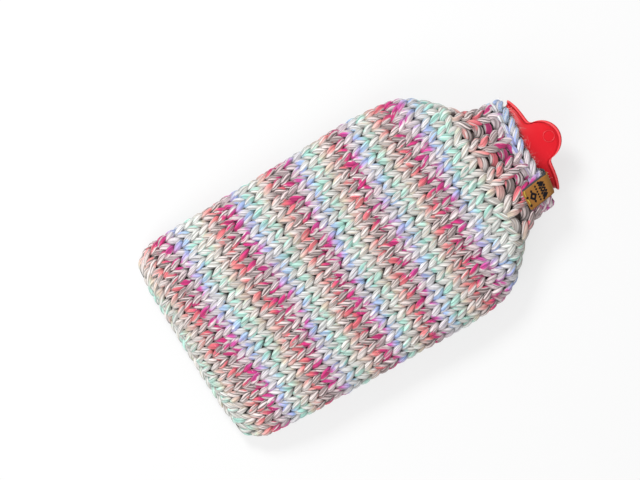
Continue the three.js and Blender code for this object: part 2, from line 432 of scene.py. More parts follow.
def dye_cycle(distance, share):
    """How far the yarn's dye has run at a place; it drifts along each round."""
    drift = np.sin(2 * np.pi * share) * np.interp(distance, DYE_DRIFT[:, 0], DYE_DRIFT[:, 1])
    drift = drift + DYE_RIPPLE * np.sin(6 * np.pi * share + distance / DYE_RIPPLE_LENGTH)
    return np.interp(distance + drift, DYE_STATIONS[:, 0], DYE_STATIONS[:, 1])


# The front mark feeds painted shade: the yarn is drawn darker the further back it lies.
def front_mark(out, least=0.0):
    """How far forward the yarn lies, from 0 at the back of its round to 1 at the front."""
    return np.clip((out + YARN_BACK) / YARN_REACH, least, 1)


def next_place(spot, gone):
    """Where a stitch's spot goes in the next round when gone stitches are decreased at each side."""
    quarter, c = spot["quarter"], np.abs(spot["place"])
    kept = quarter - gone / 2
    moved = np.where(c <= kept, c, np.where(c >= kept + gone, c - gone, kept))
    return np.sign(spot["place"]) * moved


def knit_round(fabric, row, rib):
    """The path of one round of yarn through all its stitches."""
    n, after = row["stitches"], row["after"]
    k = np.arange(n)
    column = (k - n / 2 + 0.5)[:, None]
    shape = np.repeat(STITCH[None], n, 0)
    if rib:
        shape[..., 0] *= KNIT_SPREAD
        shape[..., 2] += KNIT_RAISE
        shape[1::2] = PURL
        shape[1::2, :, 0] *= PURL_SPREAD
        shape[1::2, :, 3] *= PURL_FULL
        shape[1::2, :, 2] -= PURL_DEPTH
        if row["first"]:
            shape[1::2, :, 1] -= FIRST_PURL_DROP
    jitter = RNG.normal(size=(n, 6)) * (RIB_UNEVEN if rib else 1.0)
    across = shape[..., 0] + jitter[:, 0:1] * UNEVEN_ACROSS
    up = shape[..., 1] * (1 + UNEVEN_HEIGHT * jitter[:, 1:2]) + jitter[:, 2:3] * UNEVEN_UP
    up = up + shape[..., 0] * jitter[:, 5:6] * (RIB_UNEVEN_LEAN if rib else UNEVEN_LEAN)
    out = shape[..., 2] + jitter[:, 3:4] * UNEVEN_OUT
    full = shape[..., 3]
    gone = (n - after) // 2
    spot = {"quarter": n / 4, "place": column + across}
    here = (column + across) / n
    there = next_place(spot, gone) / after
    rise = np.clip(up, -0.4, 1.5)
    share = here * (1 - rise) + there * rise
    distance = row["distance"] + up * row["height"] + row["wave"](share)
    shift = FABRIC_TURN / fabric.around_at(distance)
    share = share + shift
    path, normal = fabric.place(share.ravel(), distance.ravel(), out.ravel())
    full = full.ravel() * np.repeat(1 + UNEVEN_FULL * jitter[:, 4], SAMPLES)
    width = row["pitch"] / STITCH_WIDTH
    wide = (YARN_THIN + (YARN_WIDE - YARN_THIN) * full) * min(RIB_WIDTH if rib else WIDEST_YARN, width)
    tall = YARN_THIN + (YARN_TALL - YARN_THIN) * full
    cycle = dye_cycle(fabric.at_distance(distance.ravel()), share.ravel())
    # Painted shade: this mark darkens the yarn at the back of its round, the rib's gaps less so.
    front = front_mark(shape[..., 2].ravel(), RIB_GAP_FRONT if rib else 0)
    return path, normal, wide, tall, cycle, front


def smoothed_loop(path):
    """Rounds off the corners of a closed path a little."""
    return 0.5 * path + 0.25 * (np.roll(path, 1, 0) + np.roll(path, -1, 0))


def smooth_inside(path):
    """The same for an open path, whose ends stay."""
    path[1:-1] = 0.5 * path[1:-1] + 0.25 * (path[:-2] + path[2:])


def plan_rows(fabric):
    """Every round: its place, its stitches and how many stitches the next one has."""
    rows = []
    start, ends = fabric.distance_at(FIRST_ROW_AT), fabric.distance_at(RIB_FROM)
    anchor = fabric.distance_at(ROUND_STARTS_AT)
    first = anchor - ROW_HEIGHT * math.floor((anchor - start) / ROW_HEIGHT)
    count = round((ends - first) / ROW_HEIGHT)
    for i in range(count):
        place = first + i * ROW_HEIGHT
        rows.append({"distance": place, "height": ROW_HEIGHT, "rib": False, "first": False})
    base = first + count * ROW_HEIGHT
    for i in range(RIB_ROWS):
        place = base + i * RIB_ROW_HEIGHT
        rows.append({"distance": place, "height": RIB_ROW_HEIGHT, "rib": True, "first": i == 0})
    stitches = BODY_STITCHES
    for row in rows:
        if row["rib"]:
            stitches = RIB_STITCHES
        elif fabric.at_distance(row["distance"]) > SHOULDER_FROM:
            room = fabric.around_at(row["distance"]) / STITCH_WIDTH
            wanted = 2 * round(room / 2)
            stitches = max(RIB_STITCHES, min(stitches, max(wanted, stitches - MOST_DECREASED)))
        row["stitches"] = stitches
        row["pitch"] = fabric.around_at(row["distance"]) / stitches
        phase, size = RNG.uniform(0, 2 * np.pi, 2), RNG.normal(0, UNEVEN_ROUND, 2)
        row["wave"] = lambda share, p=phase, s=size: (
            s[0] * np.sin(4 * np.pi * share + p[0]) + s[1] * np.sin(10 * np.pi * share + p[1])
        )
    for row, following in zip(rows, rows[1:] + rows[-1:]):
        row["after"] = following["stitches"]
    return rows


def knit_cover(material):
    """The knitted rounds, a few to a piece."""
    fabric = Fabric(YARN_DEPTH)
    rows = plan_rows(fabric)
    pieces, skein, rounds = [], Skein(), 0
    for i, row in enumerate(rows):
        path, normal, wide, tall, cycle, front = knit_round(fabric, row, row["rib"])
        path = smoothed_loop(path)
        twist = RNG.uniform(0, ANY_TWIST)
        skein.add(*yarn_tube(path, normal, wide, tall, True, cycle, front, twist))
        rounds += 1
        last = i + 1 == len(rows)
        turning = not last and rows[i + 1]["rib"] != row["rib"]
        if rounds == ROUNDS_A_PIECE or last or turning:
            kind = "rib" if row["rib"] else "knit"
            pieces.append(skein.piece(f"{kind}_rounds_{len(pieces) + 1}", material))
            skein, rounds = Skein(), 0
    return fabric, pieces


# --- chained edges ----------------------------------------------------------------------------
LINK = 10.4
CHAIN_WIDTH = 12.0
CHAIN_YARN = (0.86, 0.9)  # its yarn's width and thickness beside the rounds' own
UNEVEN_LINK = (0.04, 0.03, 0.2)
MOUTH_CHAIN_BELOW = 10.0
MOUTH_DIP = (1.4, 0.3)  # how deep, and how far round, the mouth's edge dips
MOUTH_RIPPLE = 0.5
MOUTH_SAG = (2.3, 0.85, 0.085)  # depth, place and width of the sag at the front's left
MOUTH_CHAIN_OUT = (0.8, 0.6)
MOUTH_DYE = (5.18, 0.09)
BOTTOM_CHAIN_AT = 3.0
BOTTOM_CHAIN_INSET = 6
BOTTOM_CHAIN_WIDTH = 9.0
BOTTOM_CHAIN_OUT = (0.9, 0.7)
BOTTOM_CHAIN_FACING = np.array([0.0, -0.8, 0.6])
BOTTOM_CHAIN_SIDEWAYS = np.array([0.0, 0.6, 0.8])
BOTTOM_CHAIN_RISE = 2.0
BOTTOM_CHAIN_START = 3.6
BOTTOM_DYE = -0.51
BOTTOM_CHAIN_CORNER = (6.0, 8)  # how far its ends turn up at the corners, and how sharply


def chain_links(count):
    """A chain of knit-like links: along in links, across from its middle, out and fullness."""
    link = np.arange(count)[:, None]
    jitter = RNG.normal(size=(count, 3))
    along = link + STITCH[None, :, 1] + jitter[:, 0:1] * UNEVEN_LINK[0]
    across = STITCH[None, :, 0] + jitter[:, 1:2] * UNEVEN_LINK[1]
    out = STITCH[None, :, 2] + jitter[:, 2:3] * UNEVEN_LINK[2]
    full = np.broadcast_to(STITCH[None, :, 3], along.shape)
    return along.ravel(), across.ravel(), out.ravel(), full.ravel()


def chain_tube(path, normal, out, full, closed, cycle):
    wide = YARN_THIN + (YARN_WIDE * CHAIN_YARN[0] - YARN_THIN) * full
    tall = YARN_THIN + (YARN_TALL * CHAIN_YARN[1] - YARN_THIN) * full
    return yarn_tube(path, normal, wide, tall, closed, cycle, front_mark(out))


def bound_off_edge(fabric, material):
    """The bound-off chain that runs round the collar's mouth."""
    middle = fabric.walked[-1] - MOUTH_CHAIN_BELOW
    count = round(fabric.around_at(middle) / LINK)
    along, across, out, full = chain_links(count)
    share = -along / count
    depth, turn = MOUTH_DIP
    dip = depth * np.sin(-2 * np.pi * share - turn) + MOUTH_RIPPLE * np.sin(6 * np.pi * share)
    depth, place, width = MOUTH_SAG
    dip = dip + depth * np.exp(-(((share % 1 - place) / width) ** 2))
    distance = middle + dip - across * CHAIN_WIDTH
    swing, lift = MOUTH_CHAIN_OUT
    path, normal = fabric.place(share, distance, out * swing + lift)
    cycle = MOUTH_DYE[0] + MOUTH_DYE[1] * np.sin(2 * np.pi * share + np.pi)
    skein = Skein()
    skein.add(*chain_tube(smoothed_loop(path), normal, out, full, True, cycle))
    return skein.piece("bound_off_edge", material)


def cast_on_edge(material):
    """The joined cast-on chain along the closed bottom."""
    centre, half, low, high, _ = cover_section(np.array(BOTTOM_CHAIN_AT))
    reach = 2 * half - BOTTOM_CHAIN_INSET
    count = round(reach / LINK)
    along, across, out, full = chain_links(count)
    share = (along + 0.3) / (count + 0.9)
    x = centre + (share - 0.5) * reach
    rise, power = BOTTOM_CHAIN_CORNER
    at = BOTTOM_CHAIN_START + rise * np.abs(2 * share - 1) ** power
    z = np.full(len(x), (low + high) / 2 + BOTTOM_CHAIN_RISE)
    path = np.stack([x, slanted(x, at) + BOTTOM_Y, z], -1)
    swing, lift = BOTTOM_CHAIN_OUT
    path = path + BOTTOM_CHAIN_FACING * (out * swing + lift)[:, None]
    path = path + BOTTOM_CHAIN_SIDEWAYS * (across * BOTTOM_CHAIN_WIDTH)[:, None]
    smooth_inside(path)
    normal = np.tile(BOTTOM_CHAIN_FACING, (len(x), 1))
    cycle = BOTTOM_DYE + 0.08 * np.sin(x / 7.0) + 0.04 * np.sin(x / 2.9)
    skein = Skein()
    skein.add(*chain_tube(path, normal, out, full, False, cycle))
    return skein.piece("cast_on_edge", material)


# --- the backing of the fabric, painted shade -------------------------------------------------
BACKING_OUTER = 6.9
BACKING_INNER = 8.0
BACKING_ENDS = 9  # how far below the mouth it ends
BACKING_SIDES = 120


def backing_sheet(material):
    """The closed inner face of the knitting, coloured dark as painted shade between the stitches."""
    levels = np.concatenate([[4.5, 6, 8.5, 12], np.linspace(16, COVER_LENGTH - BACKING_ENDS, 60)])
    turn = np.linspace(0, 2 * np.pi, BACKING_SIDES, endpoint=False)
    rings = [cover_skin(turn, at, BACKING_OUTER) for at in levels]
    rings += [cover_skin(turn, at, BACKING_INNER) for at in levels[::-1][:-1]]
    rings.append(cover_skin(turn, levels[0] + 1.1, BACKING_INNER))
    points = np.concatenate(rings)
    quads = tube_quads(len(rings), BACKING_SIDES, False)[:, ::-1]
    caps = end_caps(len(rings), BACKING_SIDES)
    caps[:, :3] = caps[:, 2::-1]
    points = np.concatenate([points, [rings[0].mean(0)], [rings[-1].mean(0)]])
    return mesh_piece("painted_shade_backing", points, np.concatenate([quads, caps]), material)


# --- the bottle -------------------------------------------------------------------------------
BOTTLE_STATIONS = np.array(
    [
        [12, 70, 3.2],
        [15, 78, 5],
        [22, 86, 7.6],
        [36, 90, 10.4],
        [60, 91, 13],
        [100, 91.5, 14.4],
        [225, 92.5, 14.6],
        [250, 90, 13.8],
        [268, 81, 12.6],
        [281, 64, 12],
        [291, 40, 12.8],
        [299, 23, 15],
        [306, 17.4, 16.6],
        [318, 18.2, 16.6],
        [330, 27, 15.2],
        [346, 38, 13.6],
        [360.4, 44.7, 14.2],
    ]
)
BOTTLE_TOP_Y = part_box("bottle")[1][1] / MM
BOTTLE_SHIFT = -4.8
BOTTLE_RINGS = (12, 13, 15, 19, 26, 36, 60, 120, 200, 235, 252, 266, 276, 284, 291, 299, 306, 314)
BAG_TO_NECK = (285, 305)
DROOP_FROM = 320
NECK_AT = 322
FUNNEL_BASE_AT = 330
RIM, RIM_HALF, RIM_DEPTH = BOTTLE_STATIONS[-1]
RIM_DROOP = 4.5
DROOP_POWER = 4
RUBBER_WALL = 3.0
TAB_RADIUS = 17.6
TAB_FILLET = 4
TAB_BENDS_FROM = 172
TAB_BEND = 0.05
TAB_RING_BELOW = 10.4
TAB_RING_RADIUS = 5.0
TAB_RING_RIB = 0.55

# The raised bead along the funnel's edge, a groove and then a round bead: how far back from the
# edge, how high, and painted light: 0 is painted shade in the groove, 1 a painted highlight on the crest.
BEAD = (
    (6.0, 0.0, 0.5),
    (4.4, 0.0, 0.5),
    (3.6, -0.5, 0.0),
    (3.1, -0.2, 0.05),
    (2.6, 0.9, 0.75),
    (1.7, 1.25, 1.0),
    (0.8, 0.9, 0.6),
    (0.3, 0.2, 0.3),
)


def rim_outline(count):
    """The funnel's edge seen from above, right to left: rim, flare, dome, flare and rim."""
    centre = BOTTLE_TOP_Y - TAB_RADIUS
    base = BOTTOM_Y + RIM
    shoulder = base + TAB_FILLET
    lean = np.arcsin((shoulder - centre) / (TAB_RADIUS + TAB_FILLET))
    foot = (TAB_RADIUS + TAB_FILLET) * np.cos(lean)
    edge = np.linspace(RIM_HALF, foot, 12)[:-1]
    right = np.stack([edge, base - RIM_DROOP * (edge / RIM_HALF) ** DROOP_POWER], -1)
    a = np.linspace(-np.pi / 2, lean - np.pi, 10)[:-1]
    flare = np.stack([foot + TAB_FILLET * np.cos(a), shoulder + TAB_FILLET * np.sin(a)], -1)
    a = np.linspace(lean, np.pi / 2, 16)
    dome = np.stack([TAB_RADIUS * np.cos(a), centre + TAB_RADIUS * np.sin(a)], -1)
    half = np.concatenate([right, flare, dome])
    whole = np.concatenate([half, (half * [-1, 1])[::-1][1:]])
    step = np.linalg.norm(np.diff(whole, axis=0), axis=1)
    walked = np.concatenate([[0], np.cumsum(step)])
    even = np.linspace(0, walked[-1], count)
    return np.stack([np.interp(even, walked, whole[:, k]) for k in range(2)], -1)


def bottle_piece(material):
    """The rubber bottle as one skin: bag, neck, funnel with its dome-shaped tab, and the mouth."""
    upper, lower = 101, 60
    middle = (LOW[2] + cover_section(np.array(float(MOUTH_END)))[3]) / 2
    turn = np.concatenate([np.linspace(0, np.pi, upper), np.linspace(np.pi, 2 * np.pi, lower + 2)[1:-1]])
    count = len(turn)

    def section(at, grow=0.0):
        half = between(BOTTLE_STATIONS, 1, at) + grow
        depth = between(BOTTLE_STATIONS, 2, at) + grow
        centre, _, low, high, _ = cover_section(np.array(float(at)))
        bag = 1 - smoothstep(at, *BAG_TO_NECK)
        power = 2 + 0.4 * bag
        c = np.cos(turn)
        share = np.sign(c) * np.abs(c) ** (2 / power)
        z = depth * superellipse(share, power) * np.where(np.sin(turn) >= 0, 1, -1)
        x = BOTTLE_SHIFT + (centre - BOTTLE_SHIFT) * bag + half * share
        droop = RIM_DROOP * smoothstep(at, DROOP_FROM, RIM) * share**DROOP_POWER
        return np.stack([x, slanted(x, at) - droop + BOTTOM_Y, (low + high) / 2 + z], -1)

    outline = rim_outline(upper)
    edge = np.empty((count, 3))
    edge[:upper, 0] = outline[:, 0]
    edge[:upper, 1] = outline[:, 1]
    low_x = RIM_HALF * np.cos(turn[upper:])
    edge[upper:, 0] = low_x
    edge[upper:, 1] = outline[0, 1] + (RIM_DROOP * 0.6) * (1 - (low_x / RIM_HALF) ** 2)
    lift = np.sqrt(np.maximum(0, 1 - (edge[:, 0] / RIM_HALF) ** 2))
    edge[:, 2] = RIM_DEPTH * lift * np.where(np.arange(count) < upper, 1, -1)
    edge[:, 2] -= np.maximum(0, edge[:, 1] - TAB_BENDS_FROM) * TAB_BEND
    edge += [BOTTLE_SHIFT, 0, middle]

    neck = section(NECK_AT)
    base = section(FUNNEL_BASE_AT)
    inward = base - edge
    reach = np.linalg.norm(inward, axis=1, keepdims=True)
    inward /= reach
    out = np.zeros((count, 3))
    out[:, 0] = 0.25 * edge[:, 0] / RIM_HALF
    out[:, 2] = np.where(np.arange(count) < upper, 1, -1) * (0.25 + lift)
    out[:, 0] += (1 - lift) * np.sign(edge[:, 0] - BOTTLE_SHIFT) * 0.9
    out /= np.linalg.norm(out, axis=1, keepdims=True)
    rings = [section(at) for at in BOTTLE_RINGS] + [neck, base]
    for share in (0.8, 0.6, 0.42, 0.28):
        rings.append(edge + inward * reach * share - out * 0.1)
    plain_rings = len(rings)
    for back, height, _ in BEAD:
        rings.append(edge + inward * back + out * height)
    rings.append(edge - out * 0.6)
    for back, depth in ((0.4, 2.2), (1.2, 2.9), (3.0, RUBBER_WALL)):
        rings.append(edge + inward * back - out * depth)
    inner_base = section(FUNNEL_BASE_AT + 1, -RUBBER_WALL)
    for share in (0.35, 0.65):
        ring = edge - out * RUBBER_WALL
        rings.append(ring * (1 - share) + inner_base * share)
    rings += [inner_base, section(320, -3.6), section(308, -3.8), section(302, -4.2)]
    points = np.concatenate(rings)
    quads = tube_quads(len(rings), count, False)[:, ::-1]
    caps = end_caps(len(rings), count)
    caps[:, :3] = caps[:, 2::-1]
    points = np.concatenate([points, [rings[0].mean(0)], [rings[-1].mean(0)]])
    quads = np.concatenate([quads, caps])

    # Painted light on the rubber: 0.5 is plain, lower is painted shade, higher a painted highlight.
    relief = np.full(len(points), 0.5)
    for i, (_, _, mark) in enumerate(BEAD):
        start = (plain_rings + i) * count
        relief[start : start + count] = mark
    ring_points, ring_quads, ring_light_and_shade = moulded_ring(middle, len(points))
    points = np.concatenate([points, ring_points])
    quads = np.concatenate([quads, ring_quads])
    marks = {"relief": np.concatenate([relief, ring_light_and_shade])}
    return mesh_piece("rubber_bottle", points, quads, material, marks)


def moulded_ring(middle, first):
    """The low round rib moulded in the middle of the tab."""
    steps, sides = 48, 8
    a = np.linspace(0, 2 * np.pi, steps, endpoint=False)[:, None]
    b = np.linspace(0, 2 * np.pi, sides, endpoint=False)[None]
    reach = TAB_RING_RADIUS + TAB_RING_RIB * 1.3 * np.cos(b)
    x = reach * np.cos(a)
    y = reach * np.sin(a) + BOTTLE_TOP_Y - TAB_RING_BELOW
    top = RIM_DEPTH * np.sqrt(1 - (x / RIM_HALF) ** 2) - np.maximum(0, y - TAB_BENDS_FROM) * TAB_BEND
    z = middle + top + TAB_RING_RIB * 0.8 * np.sin(b)
    points = np.stack([x + BOTTLE_SHIFT, y, z], -1).reshape(-1, 3)
    # Painted light on the ring: a painted highlight along its top and painted shade on its sides.
    relief = np.tile(np.where(np.sin(b) > 0.9, 0.85, 0.0).ravel(), steps)
    return points, tube_quads(steps, sides, True)[:, ::-1] + first, relief


# --- the label --------------------------------------------------------------------------------
LABEL_CENTRE = 32.9
LABEL_CENTRE_AT = 337
LABEL_WIDTH = 17.8
LABEL_END = 323.2
LABEL_INNER_END = 338
LABEL_LEAN = -0.13
LABEL_OUT = 1.3
LABEL_FOLD = 345
LABEL_FOLD_SLANT = -0.12
LABEL_CORNER = 1.8
LABEL_PINCH = 0.12  # how much narrower its right side is over the lip
LIP_RADIUS = 3.5
COVER_WALL = 7
LABEL_TUCK = 5.0
LABEL_RUN = 25.0  # steps of the print and the sewing, from the fold to the lower edge
LEATHER_OUT = (LABEL_OUT + 0.05, LABEL_OUT + 1.2)
FELT_OUT = (LABEL_OUT - 0.5, LABEL_OUT)
# The dark backing is wider than the leather and set to its left, so its edge shows as a dark band along the
# label's left side: partly the backing itself, partly painted shadow along that edge.
FELT_WIDTH = 1.11  # beside the leather's
FELT_ASIDE = -0.04
THREAD_RADIUS = 0.42

# The hand stitch: share across the label, steps from its lower edge, height over the leather.
THREAD = np.array(
    [
        [-0.47, 3.2, -0.2],
        [-0.41, 2.6, 0.5],
        [-0.30, 2.0, 0.7],
        [-0.20, 2.2, 0.4],
        [-0.14, 2.6, -1.2],
        [-0.09, 2.6, -1.2],
        [-0.02, 2.0, 0.5],
        [0.09, 2.7, 0.7],
        [0.21, 2.2, 0.5],
        [0.30, 2.5, -1.0],
    ]
)


def label_sheet(share, travel, out):
    """A point of the folded strip: share across it and travel along it, out from the knitting."""
    turn = np.clip(travel, 0, 1) * np.pi
    outer_run = LABEL_FOLD - LABEL_END
    inner_run = LABEL_FOLD - LABEL_INNER_END
    slant = share * LABEL_WIDTH * LABEL_FOLD_SLANT
    at = LABEL_FOLD + slant * (1 + np.minimum(travel, 0)) + np.where(travel < 0, travel * outer_run, 0)
    at = at - np.where(travel > 1, (travel - 1) * inner_run, 0)
    radius = LIP_RADIUS + out
    inset = LIP_RADIUS - radius * np.cos(turn)
    tuck = LABEL_TUCK * np.maximum(0, inset) / COVER_WALL
    low = np.clip(1 - (at - LABEL_END) / LABEL_CORNER, 0, 1) * (travel < 0)
    narrowed = 1 - (1 - np.sqrt(np.maximum(0, 1 - low**2))) * LABEL_CORNER * 2 / LABEL_WIDTH
    narrowed = narrowed - LABEL_PINCH * np.sin(turn) * (share > 0)
    x = LABEL_CENTRE + share * LABEL_WIDTH * narrowed + (at - LABEL_CENTRE_AT) * LABEL_LEAN - tuck
    y = at + radius * np.sin(turn)
    z = cover_top(x, np.minimum(y, COVER_LENGTH), inset)
    return np.stack([x, y + BOTTOM_Y, z], -1)


def folded_sheet(name, material, width, near, far, thickness_out, aside=0.0):
    """A thin folded sheet of the label between two heights above the knitting."""
    across = 15
    outer, over, inner = np.linspace(-0.82, 0, 13), np.linspace(0, 1, 15)[1:-1], np.linspace(1, 2, 5)
    travel = np.concatenate([np.linspace(-1, -0.9, 5), outer, over, inner])
    travel = travel[(travel >= near) & (travel <= far)]
    share = np.linspace(-0.5, 0.5, across) * width + aside
    low, high = thickness_out
    grid = [label_sheet(share, t, np.full(across, high)) for t in travel]
    back = [label_sheet(share, t, np.full(across, low))[::-1] for t in travel]
    rings = [np.concatenate(pair) for pair in zip(grid, back)]
    points = np.concatenate(rings)
    count = 2 * across
    quads = tube_quads(len(rings), count, False)
    points = np.concatenate([points, [rings[0].mean(0)], [rings[-1].mean(0)]])
    quads = np.concatenate([quads, end_caps(len(rings), count)])
    face = np.tile(np.concatenate([share, share[::-1]]), len(rings))
    run = np.repeat(travel, count)
    ends = [travel[0], travel[-1]]
    marks = {"label_across": np.append(face, [0, 0]), "label_along": np.append(run, ends)}
    return mesh_piece(name, points, quads, material, marks)


def thread_stitch(material):
    """The hand-sewn yellow thread along the label's lower edge, with its two holes."""
    share, run, lift = THREAD.T
    travel = -1 + run / LABEL_RUN
    lift = lift + LABEL_OUT + 1.2
    knots = np.array([label_sheet(s, t, o) for s, t, o in zip(share, travel, lift)])
    t = np.linspace(0, len(knots) - 1, 60)
    path = np.stack([np.interp(t, np.arange(len(knots)), knots[:, k]) for k in range(3)], -1)
    for _ in range(4):
        smooth_inside(path)
    tangent = np.gradient(path, axis=0)
    tangent /= np.linalg.norm(tangent, axis=1, keepdims=True)
    side = np.cross(tangent, [0, 0, 1.0])
    up = np.cross(side, tangent)
    a = np.linspace(0, 2 * np.pi, 8, endpoint=False)
    ring = side[:, None] * np.cos(a)[None, :, None] + up[:, None] * np.sin(a)[None, :, None]
    points = (path[:, None] + THREAD_RADIUS * ring).reshape(-1, 3)
    points = np.concatenate([points, path[[0, -1]]])
    quads = np.concatenate([tube_quads(len(path), 8, False), end_caps(len(path), 8)])
    return mesh_piece("label_thread", points, quads, material)


# --- loose fibres -----------------------------------------------------------------------------
FIBRE_HALF_WIDTH = 0.05
MOUTH_FIBRE_HALF_WIDTH = 0.035
MOUTH_FIBRES_FROM_Y = 154.0
UNDERSIDE = 1.5  # no fibres start lower than this


def loose_fibres(name, pieces, material, count, longest, half_width, from_y=-1000.0):
    """Fine wool fibres that stand off the yarn, as thin curved ribbons."""
    points, normals = [], []
    for piece in pieces:
        mesh = piece.data
        co, no = np.empty(len(mesh.vertices) * 3), np.empty(len(mesh.vertices) * 3)
        mesh.vertices.foreach_get("co", co)
        mesh.vertices.foreach_get("normal", no)
        points.append(co.reshape(-1, 3) / MM)
        normals.append(no.reshape(-1, 3))
    points, normals = np.concatenate(points), np.concatenate(normals)
    shown = np.flatnonzero((points[:, 2] > UNDERSIDE) & (points[:, 1] > from_y))
    picked = RNG.choice(shown, count)
    root, out = points[picked], normals[picked]
    along = RNG.normal(size=(count, 3))
    along -= out * (along * out).sum(1, keepdims=True)
    along /= np.linalg.norm(along, axis=1, keepdims=True)
    length = RNG.uniform(0.35, 1.0, (count, 1)) * longest
    bend = RNG.uniform(0.2, 0.6, (count, 1))
    side = np.cross(out, along) * half_width
    rings = []
    for t in (0.0, 0.35, 0.7, 1.0):
        spot = root + along * length * t + out * (bend * length * (t - 0.75 * t * t) - 0.15)
        thin = 1.0 - 0.7 * t
        rings.append(np.stack([spot - side * thin, spot + side * thin], 1))
    grid = np.stack(rings, 1)
    grid[..., 2] = np.maximum(grid[..., 2], 0.1)
    start = np.arange(count)[:, None] * 8
    quads = np.concatenate([start + [2 * i, 2 * i + 1, 2 * i + 3, 2 * i + 2] for i in range(3)])
    return mesh_piece(name, grid.reshape(-1, 3), quads, material)


# --- materials --------------------------------------------------------------------------------
class Nodes:
    """Short names for building a node tree."""

    def __init__(self, tree):
        self.tree = tree

    def add(self, kind, **settings):
        made = self.tree.nodes.new(kind)
        for name, value in settings.items():
            setattr(made, name, value)
        return made

    def join(self, source, target):
        self.tree.links.new(source, target)

    def feed(self, socket, value):
        if isinstance(value, bpy.types.NodeSocket):
            self.join(value, socket)
        elif value is not None:
            socket.default_value = value

    def math(self, operation, a, b=None, clamp=False):
        made = self.add("ShaderNodeMath", operation=operation, use_clamp=clamp)
        for socket, value in zip(made.inputs, (a, b)):
            self.feed(socket, value)
        return made.outputs[0]

    def mark(self, name, output="Fac"):
        return self.add("ShaderNodeAttribute", attribute_name=name).outputs[output]

    def position(self):
        return self.add("ShaderNodeTexCoord").outputs["Object"]

    def step(self, value, low, high, start=0.0, end=1.0):
        made = self.add("ShaderNodeMapRange", interpolation_type="SMOOTHSTEP")
        for socket, given in zip(made.inputs, (value, low, high, start, end)):
            self.feed(socket, given)
        return made.outputs[0]

    def mix(self, share, a, b, blend="MIX"):
        made = self.add("ShaderNodeMix", data_type="RGBA", blend_type=blend)
        self.feed(made.inputs[0], share)
        self.feed(made.inputs[6], a)
        self.feed(made.inputs[7], b)
        return made.outputs[2]

    def noise(self, vector, scale, detail=3.0, roughness=0.6):
        made = self.add("ShaderNodeTexNoise")
        self.feed(made.inputs["Vector"], vector)
        made.inputs["Scale"].default_value = scale
        made.inputs["Detail"].default_value = detail
        made.inputs["Roughness"].default_value = roughness
        return made.outputs["Fac"]

    def ramp(self, value, stops):
        made = self.add("ShaderNodeValToRGB")
        elements = made.color_ramp.elements
        while len(elements) < len(stops):
            elements.new(0.5)
        for element, (place, colour) in zip(elements, stops):
            element.position = place
            element.color = (*colour, 1)
        self.feed(made.inputs[0], value)
        return made.outputs[0]

    def vector(self, x, y, z):
        made = self.add("ShaderNodeCombineXYZ")
        for socket, value in zip(made.inputs, (x, y, z)):
            self.feed(socket, value)
        return made.outputs[0]


def new_group(name, inputs, outputs):
    """A shader node group with named sockets, given as (name, kind)."""
    tree = bpy.data.node_groups.new(name, "ShaderNodeTree")
    for label, kind in inputs:
        tree.interface.new_socket(label, in_out="INPUT", socket_type=kind)
    for label, kind in outputs:
        tree.interface.new_socket(label, in_out="OUTPUT", socket_type=kind)
    nodes = Nodes(tree)
    return nodes, nodes.add("NodeGroupInput"), nodes.add("NodeGroupOutput")


WOOL_WHITES = ((0.61, 0.565, 0.55, 1), (0.80, 0.765, 0.745, 1))
FIBRE_WHITES = ((0.75, 0.70, 0.68, 1), (0.95, 0.93, 0.91, 1))
# Painted shade: the backing's near-black browns stand for the shade in the gaps between stitches.
BACKING_SHADE_BROWNS = ((0.05, 0.035, 0.035, 1), (0.16, 0.12, 0.11, 1))
RUBBER_REDS = ((0.50, 0.004, 0.010, 1), (0.63, 0.008, 0.018, 1))
RUBBER_SCRATCH = (0.85, 0.11, 0.11, 1)
# A painted highlight for the bead's crest, and painted shade for its groove and the ring's sides.
RUBBER_PAINTED_HIGHLIGHT = (0.95, 0.16, 0.17, 1)
RUBBER_PAINTED_SHADE = (0.28, 0.003, 0.008, 1)
LEATHER_TANS = ((0.23, 0.095, 0.016, 1), (0.35, 0.155, 0.032, 1))
LEATHER_PORES = (0.13, 0.055, 0.02, 1)
PRINT_INK = (0.003, 0.002, 0.005, 1)
FELT_GREYS = ((0.015, 0.016, 0.02, 1), (0.07, 0.075, 0.085, 1))
THREAD_YELLOWS = ((0.30, 0.20, 0.01, 1), (0.62, 0.47, 0.05, 1))
FLOOR_GREYS = ((0.17, 0.17, 0.17, 1), (0.18, 0.18, 0.18, 1))
FLOOR_GLOW = 0.715

DYE_TRAVEL = 3.1  # how far the streaks move on through one cycle of the dye
DYE_WANDER = 0.24
DYED_SHARE = 0.95
SHADED_SHARE = 0.80
BROWN_SHARE = 0.62
WHITE_TINT = 0.15
LOBES = 5.0
THREADS = 11.0

# The dye's run through one cycle, from pink up to the next pink.
DYE_RUN = [
    (0.00, (0.52, 0.005, 0.17)),
    (0.10, (0.58, 0.06, 0.34)),
    (0.15, (0.52, 0.38, 0.68)),
    (0.22, (0.32, 0.43, 0.76)),
    (0.29, (0.40, 0.57, 0.76)),
    (0.36, (0.36, 0.68, 0.59)),
    (0.50, (0.48, 0.70, 0.61)),
    (0.57, (0.62, 0.54, 0.42)),
    (0.65, (0.72, 0.45, 0.41)),
    (0.74, (0.80, 0.23, 0.23)),
    (0.84, (0.74, 0.11, 0.16)),
    (0.90, (0.58, 0.012, 0.17)),
]
BROWN_RUN = [
    (0.00, (0.12, 0.12, 0.12)),
    (0.08, (0, 0, 0)),
    (0.62, (0, 0, 0)),
    (0.76, (1, 1, 1)),
    (0.90, (0.9, 0.9, 0.9)),
]
SHADE_RUN = [
    (0.00, (0.36, 0.26, 0.29)),
    (0.10, (0.52, 0.46, 0.53)),
    (0.30, (0.56, 0.57, 0.57)),
    (0.50, (0.53, 0.46, 0.37)),
    (0.62, (0.42, 0.33, 0.29)),
    (0.74, (0.14, 0.10, 0.095)),
    (0.92, (0.15, 0.105, 0.10)),
    (1.00, (0.34, 0.25, 0.27)),
]


